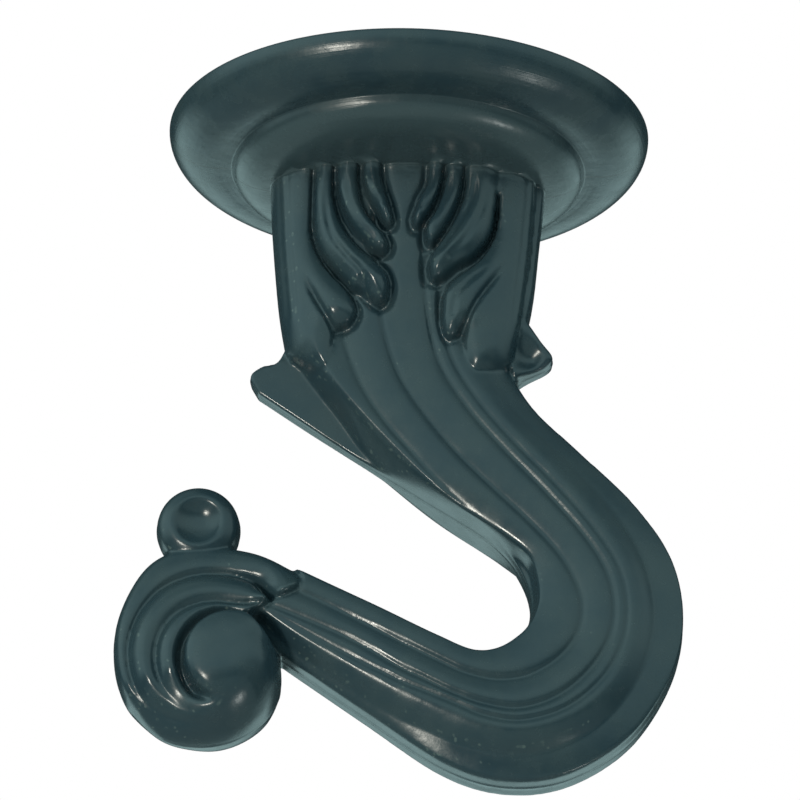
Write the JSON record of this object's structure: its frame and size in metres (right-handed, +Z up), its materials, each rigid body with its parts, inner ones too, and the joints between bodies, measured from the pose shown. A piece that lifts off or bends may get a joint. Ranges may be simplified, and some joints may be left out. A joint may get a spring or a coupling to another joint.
{
  "type": "decorative ceiling hook",
  "caption": "Ornamental die-cast ceiling hook: round canopy, fluted S-shaped hook with a scrolled end and knob, and the double-ended bolt that screws it to a ceiling.",
  "frame": {"origin": "centre of the canopy's rim, on the plane that meets the ceiling", "axes": "+Z up into the ceiling along the bolt; the hook curves in the XZ plane and opens towards -X; +Y runs from its front face to its back face"},
  "size_m": [0.0434, 0.038, 0.0623],
  "materials": {
    "enamel": "gloss",
    "zinc_plate": "satin"
  },
  "bodies": {
    "casting": {"hook_casting": "enamel"},
    "bolt": {"hanger_bolt": "zinc_plate"}
  },
  "joints": [
    {"name": "bolt_travel", "type": "slide", "parent": "casting", "child": "bolt", "axis": [0, 0, 1], "range_m": [0, 0.01]}
  ]
}
